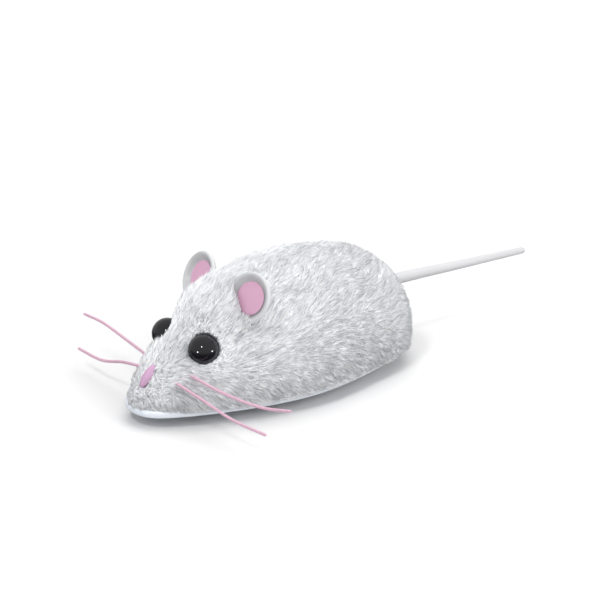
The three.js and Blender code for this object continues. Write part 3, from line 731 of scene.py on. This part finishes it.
with_thickness(skin, BACKING_THICKNESS)
holes = bmesh.new()
for centre, radius in EYES.values():
    ball = Matrix.Translation(centre)
    bmesh.ops.create_uvsphere(
        holes, u_segments=32, v_segments=20, radius=radius + 0.15 * mm, matrix=ball
    )
for middle, facing in EARS.values():
    middle, facing = Vector(middle), Vector(facing)
    add_rod(holes, EAR_REACH + 0.15 * mm, middle - facing * 1.8 * mm, middle + facing * 1.2 * mm, 48)
add_rod(holes, 2.5 * mm, (key_low.x, *key_axis), (-15 * mm, *key_axis))
add_rod(holes, TAIL_HOLE, (0, 15 * mm, TAIL_HEIGHT), (0, 30 * mm, TAIL_HEIGHT))
nose_hole = [Vector(nose_tip) + Vector((0, step, -step)) * mm for step in (-2, 4)]
add_rod(holes, 1.1 * mm, *nose_hole)
backing_cloth = Finish("backing_cloth")
knit = backing_cloth.node(
    "TexWave",
    {"wave_type": "BANDS", "bands_direction": "Z"},
    {"Vector": backing_cloth.place(), "Scale": 420, "Distortion": 3, "Detail": 2, "Detail Scale": 4},
    "Fac",
)
fluff = knit * 0.5 + backing_cloth.noise(900) * 0.5
# painted shade: the backing is coloured grey, darker than the white pile, for the shade deep under the
# strands; its knit bands and fluff are its own pattern
backing_cloth.surface(
    Base_Color=backing_cloth.colour(fluff, (0.60, 0.61, 0.64), (0.78, 0.79, 0.82)),
    Roughness=0.95,
    Normal=backing_cloth.bump(knit, 0.15 * mm, 0.6),
)
backing = finished_piece(
    "plush_backing", cut_away(skin, holes), backing_cloth.material, "mouse", ["fur_cover"]
)

# ---- Body shell ---------------------------------------------------------------------------------
# A thin dome of off-white polystyrene under the cover, with sockets for the eyes and four bosses
# for the screws that come up through the plate.


def dress(material, *names):
    """Puts a material on frame pieces that stay as they are."""
    for name in names:
        for slot in nodes[name].material_slots:
            slot.material = material


shell_plastic = Finish("shell_plastic")
shell_plastic.surface(
    Base_Color=shell_plastic.colour(shell_plastic.noise(60, 3), (0.66, 0.66, 0.63), (0.74, 0.74, 0.71)),
    Roughness=0.4 + 0.2 * shell_plastic.noise(800),
    Normal=shell_plastic.bump(shell_plastic.noise(1800, 3), 0.02 * mm, 0.4),
)
dress(shell_plastic.material, "body_shell")

# ---- Ears ---------------------------------------------------------------------------------------
# Two white moulded dishes with a rounded rim, each on a tab that goes down into the shell, and a
# pink lining pressed into each dish.

FRAME_SHIFT = Vector((0, -23.28, 0)) * mm  # from the moulds' own zero to the frame's
EAR_AT = (10, -11.8, 29.7)
EAR_TURN = {"yaw": 9.6, "tilt": -24, "roll": 3.2}
EAR_DISH = [
    (0, 0.3), (4.75, 0.3), (5.7, -0.95), (6.25, -1.22), (6.7, -1.0), (6.8, -0.4), (6.2, 0.5),
    (4.6, 1.3), (0, 1.5),
]
EAR_LINING = [(0, -0.16), (2.6, -0.22), (3.9, -0.3), (4.4, -0.1), (4.32, 0.04), (0, 0.04)]
EAR_TAB = ((-1.8, 0.1, -11), (1.8, 1.1, -5.5))


def rounded(outline, radius, steps=4):
    """An outline with its corners rounded off."""
    outline = [Vector(p) for p in outline]
    smooth = [outline[0]]
    for before, corner, after in zip(outline, outline[1:], outline[2:]):
        reach = min(radius, 0.45 * (before - corner).length, 0.45 * (after - corner).length)
        start = corner + (before - corner).normalized() * reach
        end = corner + (after - corner).normalized() * reach
        for step in range(steps + 1):
            share = step / steps
            smooth.append(start * (1 - share) ** 2 + corner * 2 * share * (1 - share) + end * share**2)
    return [*smooth, outline[-1]]


def turned(outline, place, sides=56, closed=False):
    """A piece turned about its own z axis from an outline of radius and height in millimetres."""
    shape = bmesh.new()
    line = [shape.verts.new((radius, 0, height)) for radius, height in outline]
    edges = [shape.edges.new(pair) for pair in zip(line, line[1:])]
    if closed:
        edges.append(shape.edges.new((line[-1], line[0])))
    bmesh.ops.spin(
        shape, geom=line + edges, cent=(0, 0, 0), axis=(0, 0, 1), angle=math.tau, steps=sides, use_merge=True
    )
    bmesh.ops.remove_doubles(shape, verts=shape.verts, dist=0.003)
    bmesh.ops.recalc_face_normals(shape, faces=shape.faces)
    bmesh.ops.transform(shape, matrix=place @ Matrix.Scale(mm, 4), verts=shape.verts)
    return shape


def plastic(name, low, high, roughness, grain=0.3, speck=1800):
    """A moulded plastic with slight clouding and the fine grain of its mould."""
    made = Finish(name)
    made.surface(
        Base_Color=made.colour(made.noise(110, 3), low, high),
        Roughness=roughness + 0.1 * made.noise(900),
        Normal=made.bump(made.noise(speck, 3), 0.012 * mm, grain),
    )
    return made.material


ear_white = plastic("ear_white", (0.52, 0.53, 0.54), (0.57, 0.58, 0.59), 0.3)
ear_pink = plastic("ear_pink", (0.61, 0.34, 0.485), (0.66, 0.385, 0.525), 0.42, 0.6, 2600)
for side, sign in (("left", 1), ("right", -1)):
    at = Vector((EAR_AT[0] * sign, *EAR_AT[1:])) * mm + FRAME_SHIFT
    ear_place = (
        Matrix.Translation(at)
        @ Matrix.Rotation(math.radians(EAR_TURN["yaw"] * sign), 4, "Z")
        @ Matrix.Rotation(math.radians(EAR_TURN["tilt"]), 4, "X")
        @ Matrix.Rotation(math.radians(EAR_TURN["roll"] * sign), 4, "Y")
    )
    upright = Matrix.Rotation(math.radians(-90), 4, "X")
    ear = turned(rounded(EAR_DISH, 0.5), ear_place @ upright, 80)
    tab = add_block(ear, *[Vector(corner) * mm for corner in EAR_TAB])
    bmesh.ops.transform(ear, matrix=ear_place, verts=tab)
    finished_piece(f"ear_dish_{side}", ear, ear_white, "mouse", [f"ear_{side}"])
    lining = turned(rounded(EAR_LINING, 0.3), ear_place @ upright, 64)
    finished_piece(f"ear_pad_{side}", lining, ear_pink, "mouse", [f"ear_lining_{side}"])

# ---- Eyes ---------------------------------------------------------------------------------------
# Two glossy black beads, each moulded in one with a stem that goes through its socket in the shell
# and is held inside by a pressed steel washer.

EYE_STEM = {"radius": 0.9, "end": 8}
STEM_FROM = 7.5 * mm  # corners further than this from the bead's centre are the end of its stem
WASHER = {"bore": 1.05, "rim": 2.1, "from": 5.8, "to": 6.4}


def facing_matrix(at, way):
    """A place whose z axis points the given way."""
    return Matrix.Translation(at) @ Vector(way).to_track_quat("Z", "Y").to_matrix().to_4x4()


def metal(name, colour, roughness, scratch=240):
    """A plain metal with fine drawn scratches and a slight uneven tarnish."""
    made = Finish(name)
    tarnish = made.noise(150, 4)
    made.surface(
        Base_Color=made.colour(tarnish, tuple(0.82 * c for c in colour), colour),
        Metallic=1.0,
        Roughness=roughness + 0.18 * made.noise(scratch, 5),
        Normal=made.bump(made.noise(scratch * 9, 2), 0.004 * mm, 0.5),
    )
    return made.material


steel = metal("steel", (0.56, 0.57, 0.58), 0.24)
black_bead = Finish("black_bead")
black_bead.surface(
    Base_Color=black_bead.colour(black_bead.noise(200), (0.006, 0.006, 0.008), (0.012, 0.012, 0.014)),
    Roughness=0.035 + 0.03 * black_bead.noise(400, 3),
    Specular_IOR_Level=0.42,
    Normal=black_bead.bump(black_bead.noise(90, 1), 0.01 * mm, 0.2),
)
for side, (centre, radius) in EYES.items():
    eye_mesh = shape_of(f"eye_{side}")
    far = [v.co for v in eye_mesh.verts if (v.co - Vector(centre)).length > STEM_FROM]
    stem_end = sum(far, Vector()) / len(far)
    eye_mesh.free()
    place = facing_matrix(centre, Vector(centre) - stem_end)
    ball = radius / mm
    last = math.pi - math.asin(EYE_STEM["radius"] / ball)
    bead = [(ball * math.sin(last * i / 40), ball * math.cos(last * i / 40)) for i in range(41)]
    bead += [(EYE_STEM["radius"], -EYE_STEM["end"] + 0.3), (0.6, -EYE_STEM["end"]), (0, -EYE_STEM["end"])]
    bead = turned(bead, place, 64)
    finished_piece(f"eye_bead_{side}", bead, black_bead.material, "mouse", [f"eye_{side}"])
    ring = [
        (WASHER["bore"], -WASHER["from"]), (WASHER["rim"], -WASHER["from"] - 0.1),
        (WASHER["rim"], -WASHER["to"]), (WASHER["bore"], -WASHER["to"]),
    ]
    washer = turned(ring, place, 40, closed=True)
    finished_piece(f"eye_clip_{side}", washer, steel, "mouse", [f"eye_washer_{side}"])

# ---- Nose ---------------------------------------------------------------------------------------
# A slim pink oval pressed through the cover into the shell, with its long axis down the snout.

NOSE_AT = (0, -37.1, 12.1)
NOSE_SLOPE = 46.8
NOSE_HALF = (1.2, 3.4, 1.4)
NOSE_STEM = {"radius": 0.9, "start": -0.9, "end": -4.5}

nose = bmesh.new()
bmesh.ops.create_uvsphere(nose, u_segments=48, v_segments=28, radius=1)
bmesh.ops.scale(nose, vec=Vector(NOSE_HALF) * mm, verts=nose.verts)
stem_ends = [(0, 0, NOSE_STEM[end] * mm) for end in ("start", "end")]
add_rod(nose, NOSE_STEM["radius"] * mm, *stem_ends, 24)
nose_place = Matrix.Translation(Vector(NOSE_AT) * mm + FRAME_SHIFT) @ Matrix.Rotation(
    math.radians(NOSE_SLOPE), 4, "X"
)
bmesh.ops.transform(nose, matrix=nose_place, verts=nose.verts)
nose_pink = plastic("nose_pink", (0.46, 0.275, 0.42), (0.51, 0.31, 0.46), 0.28)
finished_piece("nose_button", nose, nose_pink, "mouse", ["nose"])

# ---- Whiskers -----------------------------------------------------------------------------------
# Four cords stiffened with size, each of three pink plies twisted together. Their inner ends are
# fixed inside the snout.

WHISKERS = {
    "left_upper": [
        (4.6, -31.2, 13.2), (9, -30.6, 13.3), (20, -29, 11.7), (32, -27.2, 11.4), (42.4, -25.7, 13.2)
    ],
    "left_lower": [(4.6, -34.1, 12), (8, -33.7, 11.4), (16, -32.9, 9.9), (27, -31.8, 7.6), (38.6, -30.6, 7)],
    "right_upper": [
        (-4.6, -31.2, 13.2), (-9, -30.6, 13.3), (-20, -29, 13.8), (-32, -27.2, 14.2), (-42.4, -25.7, 13.2)
    ],
    "right_lower": [
        (-4.6, -34.1, 12), (-8, -33.7, 11.4), (-16, -32.9, 9.7), (-27, -31.8, 6.5), (-38.6, -30.6, 5.8)
    ],
}
PLIES = 3
PLY_RADIUS = 0.21 * mm
PLY_OFFSET = 0.22 * mm
PLY_PITCH = 1.8 * mm


def smooth_route(stops, spacing):
    """Evenly spaced points on a smooth line through the stops."""
    stops = [Vector(p) * mm + FRAME_SHIFT for p in stops]
    ends = [stops[0] * 2 - stops[1], *stops, stops[-1] * 2 - stops[-2]]
    line = []
    for p0, p1, p2, p3 in zip(ends, ends[1:], ends[2:], ends[3:]):
        for step in range(60):
            t = step / 60
            line.append(
                0.5 * (2 * p1 + (p2 - p0) * t + (2 * p0 - 5 * p1 + 4 * p2 - p3) * t**2
                       + (3 * p1 - p0 - 3 * p2 + p3) * t**3)
            )
    line.append(stops[-1])
    run = np.concatenate([[0], np.cumsum([(b - a).length for a, b in zip(line, line[1:])])])
    places = np.linspace(0, run[-1], max(int(run[-1] / spacing), 2) + 1)
    line_points = np.array(line)
    even = np.stack([np.interp(places, run, line_points[:, k]) for k in range(3)], axis=1)
    return [Vector(p) for p in even], places


def swept(shape, route, radii, resolution):
    """Adds a round bar along a route, with a radius for each of its points."""
    curve = bpy.data.curves.new("bar", "CURVE")
    curve.dimensions = "3D"
    curve.bevel_depth = 1
    curve.bevel_resolution = resolution
    curve.use_fill_caps = True
    spline = curve.splines.new("POLY")
    spline.points.add(len(route) - 1)
    for point, place, radius in zip(spline.points, route, radii, strict=True):
        point.co = (*place, 1)
        point.radius = radius
    holder = place_in_scene("bar", curve)
    bar = bpy.data.meshes.new_from_object(holder.evaluated_get(bpy.context.evaluated_depsgraph_get()))
    before = len(shape.verts)
    shape.from_mesh(bar)
    bpy.data.objects.remove(holder)
    bpy.data.curves.remove(curve)
    bpy.data.meshes.remove(bar)
    shape.verts.ensure_lookup_table()
    bmesh.ops.remove_doubles(shape, verts=shape.verts[before:], dist=0.002 * mm)


cord_finish = Finish("whisker_cord")
cord_finish.surface(
    Base_Color=cord_finish.colour(cord_finish.noise(1400, 3), (0.52, 0.30, 0.40), (0.72, 0.50, 0.60)),
    Roughness=0.55 + 0.2 * cord_finish.noise(1500),
    Normal=cord_finish.bump(cord_finish.noise(5200, 3), 0.03 * mm, 0.7),
)
for name, stops in WHISKERS.items():
    route, places = smooth_route(stops, 0.22 * mm)
    cord = bmesh.new()
    for ply in range(PLIES):
        strand_route = []
        for index, (point, run) in enumerate(zip(route, places)):
            ahead = (route[min(index + 1, len(route) - 1)] - route[max(index - 1, 0)]).normalized()
            across = ahead.cross(Vector((0, 0, 1))).normalized()
            angle = math.tau * (run / PLY_PITCH + ply / PLIES)
            swing = across * math.cos(angle) + across.cross(ahead) * math.sin(angle)
            strand_route.append(point + swing * PLY_OFFSET)
        tip = [PLY_RADIUS * min(1, 0.35 + (places[-1] - run) / (0.5 * mm)) for run in places]
        swept(cord, strand_route, tip, 1)
    finished_piece(
        f"whisker_cord_{name}", cord, cord_finish.material, "mouse", [f"whisker_{name}"]
    )

# ---- Tail ---------------------------------------------------------------------------------------
# A smooth tapering rod of soft white vinyl with a rounded tip. A flange at its root is trapped
# behind the shell.

TAIL_LINE = [(0, 34.6, 16.7), (0, 41, 17), (0, 48.6, 17.3), (2, 70.9, 16.6), (7, 88.5, 17.7)]
TAIL_RADII = (1.8 * mm, 0.93 * mm)
TAIL_FLANGE = {"radius": 2.8 * mm, "thick": 1 * mm}

route, places = smooth_route(TAIL_LINE, 0.3 * mm)
share = places / places[-1]
radii = TAIL_RADII[0] + (TAIL_RADII[1] - TAIL_RADII[0]) * share
to_tip = np.clip(1 - (places[-1] - places) / TAIL_RADII[1], 0, 0.995)
radii = radii * np.sqrt(1 - to_tip**2)
tail = bmesh.new()
swept(tail, route, radii, 10)
add_rod(tail, TAIL_FLANGE["radius"], route[0], route[0] + Vector((0, TAIL_FLANGE["thick"], 0)), 48)
tail_vinyl = plastic("tail_vinyl", (0.485, 0.485, 0.495), (0.525, 0.525, 0.535), 0.38, 0.5, 900)
finished_piece("tail_rod", tail, tail_vinyl, "mouse", ["tail"])

# ---- Winding key --------------------------------------------------------------------------------
# A pressed steel key with two eyes in its wings, brazed to a short socket, on the square end of the
# arbor that comes out through the right side.

KEY_WING = {"radius": 3.4, "reach": 4.5, "eye": 1.6, "eye_reach": 4.7, "sheet": 1.2}
KEY_WEB = {"half": 4, "back": 1.2, "lap": 1}
KEY_EASE = 0.22 * mm
KEY_SOCKET = {"radius": 2.3, "length": 5.6, "bore": 1.55}

key_x = key_low.x / mm
mouth_x = key_high.x / mm
socket_x = mouth_x - KEY_SOCKET["length"]
key_y, key_z = key_axis / mm
half_sheet = KEY_WING["sheet"] / 2
wing_x = key_x + KEY_WING["radius"]
parts = []
for sign in (1, -1):
    lobe = bmesh.new()
    lobe_y = key_y + sign * KEY_WING["reach"]
    ends = [Vector((wing_x, lobe_y, key_z + h)) * mm for h in (-half_sheet, half_sheet)]
    add_rod(lobe, KEY_WING["radius"] * mm, *ends, 56)
    parts.append(lobe)
web = bmesh.new()
add_block(
    web,
    Vector((key_x + KEY_WEB["back"], key_y - KEY_WEB["half"], key_z - half_sheet)) * mm,
    Vector((socket_x + KEY_WEB["lap"], key_y + KEY_WEB["half"], key_z + half_sheet)) * mm,
)
parts.append(web)
socket = bmesh.new()
ends = [Vector((x, key_y, key_z)) * mm for x in (socket_x, mouth_x)]
add_rod(socket, KEY_SOCKET["radius"] * mm, *ends, 48)
parts.append(socket)
key = parts[0]
for part in parts[1:]:
    key = cut_away(key, part, "UNION")
holes = bmesh.new()
for sign in (1, -1):
    ends = [Vector((wing_x, key_y + sign * KEY_WING["eye_reach"], key_z + h)) * mm for h in (-2, 2)]
    add_rod(holes, KEY_WING["eye"] * mm, *ends, 40)
ends = [Vector((x, key_y, key_z)) * mm for x in (socket_x + 0.5, mouth_x + 1)]
add_rod(holes, KEY_SOCKET["bore"] * mm, *ends, 32)
key = cut_away(key, holes)


def ease_edges(piece, width):
    """Breaks the sharp edges of a finished piece."""
    ease = piece.modifiers.new("ease", "BEVEL")
    ease.width = width
    ease.segments = 3
    ease.limit_method = "ANGLE"
    ease.angle_limit = math.radians(40)


ease_edges(finished_piece("key_wings", key, steel, "winder", ["winding_key"]), KEY_EASE)

# ---- Wheels -------------------------------------------------------------------------------------
# Two nylon driving wheels with black rubber tyres at the front and two small nylon wheels at the
# back, pressed on steel axles.


def turned_on_x(name, outline, node, body, material, closed=True, sides=64):
    """A turned piece on a sideways axle. The outline runs from its inner face outwards."""
    low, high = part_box(node)
    middle = (low + high) / 2
    out = 1 if middle.x > 0 else -1
    start = Vector((low.x if out > 0 else high.x, middle.y, middle.z))
    place = Matrix.Translation(start) @ Matrix.Rotation(math.radians(90 * out), 4, "Y")
    return finished_piece(name, turned(outline, place, sides, closed), material, body, [node])


nylon = plastic("nylon", (0.66, 0.64, 0.57), (0.72, 0.70, 0.63), 0.4)
rubber = Finish("tyre_rubber")
rubber.surface(
    Base_Color=rubber.colour(rubber.noise(500, 3), (0.018, 0.018, 0.019), (0.035, 0.035, 0.037)),
    Roughness=0.75 + 0.15 * rubber.noise(1200),
    Normal=rubber.bump(rubber.noise(3600, 3), 0.03 * mm, 0.7),
)
DRIVE_HUB = rounded(
    [
        (1.3, 1.5), (1.3, 0), (5.6, 0), (5.6, 3.4), (4.7, 3.4), (4.55, 2.1), (2.6, 1.9), (2.3, 3.4),
        (1.3, 3.4),
    ],
    0.25,
)
TYRE = rounded(
    [
        (5.9, 1.7), (5.9, 0), (6.6, 0), (7, 0.5), (7, 1.15), (6.8, 1.2), (6.8, 1.45), (7, 1.5), (7, 1.9),
        (6.8, 1.95), (6.8, 2.2), (7, 2.25), (7, 2.9), (6.6, 3.4), (5.9, 3.4),
    ],
    0.12, 2,
)
REAR_HUB = rounded(
    [
        (1.1, 1), (1.1, 0), (4.8, 0), (5, 0.3), (5, 2.1), (4.8, 2.4), (4.1, 2.4), (3.9, 1.5), (2.2, 1.4),
        (2, 2.4), (1.1, 2.4),
    ],
    0.2,
)
for side in ("left", "right"):
    turned_on_x(f"drive_hub_{side}", DRIVE_HUB, f"drive_wheel_{side}", "drive", nylon)
    turned_on_x(f"tyre_{side}", TYRE, f"drive_tyre_{side}", "drive", rubber.material)
    turned_on_x(f"rear_hub_{side}", REAR_HUB, f"rear_wheel_{side}", "rear_wheels", nylon)
for name, node, body in (("front_shaft", "drive_axle", "drive"), ("rear_shaft", "rear_axle", "rear_wheels")):
    low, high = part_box(node)
    radius = (high.z - low.z) / 2 / mm
    half = high.x / mm
    place = Matrix.Translation((0, (low.y + high.y) / 2, (low.z + high.z) / 2)) @ Matrix.Rotation(
        math.radians(90), 4, "Y"
    )
    shaft = [
        (0, -half), (radius - 0.2, -half), (radius, -half + 0.25),
        (radius, half - 0.25), (radius - 0.2, half), (0, half),
    ]
    finished_piece(name, turned(shaft, place, 40), steel, body, [node])

# ---- Screws -------------------------------------------------------------------------------------
# Four cross-headed steel screws in the underside hold the plate to the shell, and four more hold
# the movement to the plate.

SCREW_HEAD = [(0, 0), (1.1, 0.02), (1.65, 0.22), (1.8, 0.5), (1.8, 0.9), (0.65, 0.9), (0.65, 7.6), (0, 8)]
SCREW_CROSS = {"arm": 1.05, "width": 0.2, "deep": 0.35}
for end in ("front", "rear"):
    for side in ("left", "right"):
        low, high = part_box(f"shell_screw_{end}_{side}")
        middle = (low + high) / 2
        foot = Matrix.Translation((middle.x, middle.y, low.z))
        blank = turned(SCREW_HEAD, foot, 40)
        slots = bmesh.new()
        for arm in (("arm", "width", "deep"), ("width", "arm", "deep")):
            reach = Vector([SCREW_CROSS[size] for size in arm]) * mm
            at = Vector((middle.x, middle.y, low.z))
            add_block(slots, at - reach, at + reach)
        finished_piece(
            f"plate_screw_{end}_{side}", cut_away(blank, slots), steel, "mouse",
            [f"shell_screw_{end}_{side}"],
        )

# ---- Movement -----------------------------------------------------------------------------------
# The spring movement between two pierced steel plates: brass barrel and pillars, nylon middle
# gear, brass pinion, ratchet and click. It stays as the frame has it, in its own metals.

brass = metal("brass", (0.62, 0.43, 0.17), 0.26)
blued_steel = metal("blued_steel", (0.26, 0.29, 0.35), 0.3)
dress(
    steel,
    "frame_plate_left", "frame_plate_right", "winding_arbor", "ratchet_wheel", "click", "middle_pin",
    *[f"frame_screw_{end}_{side}" for end in ("front", "rear") for side in ("left", "right")],
)
pillars = [f"frame_pillar_{place}" for place in ("front", "middle", "rear")]
dress(brass, "spring_barrel", "drive_pinion", "click_rivet", *pillars)
dress(blued_steel, "mainspring", "click_spring")
dress(nylon, "middle_gear")
